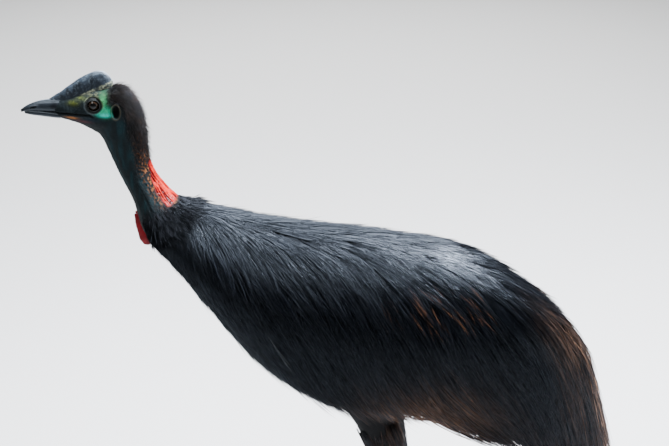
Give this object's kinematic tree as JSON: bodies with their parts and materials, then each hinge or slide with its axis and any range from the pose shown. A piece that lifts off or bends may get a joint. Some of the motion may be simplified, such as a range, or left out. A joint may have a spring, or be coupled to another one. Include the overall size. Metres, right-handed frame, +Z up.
{
  "type": "cassowary",
  "caption": "Young adult cassowary standing with its neck drawn down: low casque, bare folded neck, long drooping plumage, stub wings with bare quills and clawed feet.",
  "frame": {"origin": "on the floor, under the middle of the whole bird", "axes": "+X towards the tail with the bill towards -X, +Y towards the bird's right side, +Z up"},
  "size_m": [1.0396, 0.2992, 1.1127],
  "materials": {
    "plumage": "glossy black plumage, brown at the rump's lower edge",
    "neck_skin": "bare dark teal skin, red and wrinkled low on the back of the neck",
    "head_skin": "bare dark green-blue skin with sparse hairs",
    "red_skin": "soft wrinkled red skin",
    "casque_horn": "worn slate-grey horn",
    "bill_horn": "dark polished horn",
    "eye": "wet dark brown",
    "leg_scale": "grey-brown scutes",
    "claw_horn": "black horn",
    "quill": "bare black quills"
  },
  "bodies": {
    "root": {"head": "head_skin", "casque": "casque_horn", "bill_upper": "bill_horn", "bill_lower": "bill_horn", "neck": "neck_skin", "torso": "plumage", "tail": "plumage", "eye_left": "eye", "ear_left": "head_skin", "wing_left": "quill", "wattle_left": "red_skin", "thigh_left": "plumage", "shank_left": "leg_scale", "toe_inner_left": "leg_scale", "claw_inner_left": "claw_horn", "toe_middle_left": "leg_scale", "claw_middle_left": "claw_horn", "toe_outer_left": "leg_scale", "claw_outer_left": "claw_horn", "eye_right": "eye", "ear_right": "head_skin", "wing_right": "quill", "wattle_right": "red_skin", "thigh_right": "plumage", "shank_right": "leg_scale", "toe_inner_right": "leg_scale", "claw_inner_right": "claw_horn", "toe_middle_right": "leg_scale", "claw_middle_right": "claw_horn", "toe_outer_right": "leg_scale", "claw_outer_right": "claw_horn"}
  },
  "joints": []
}
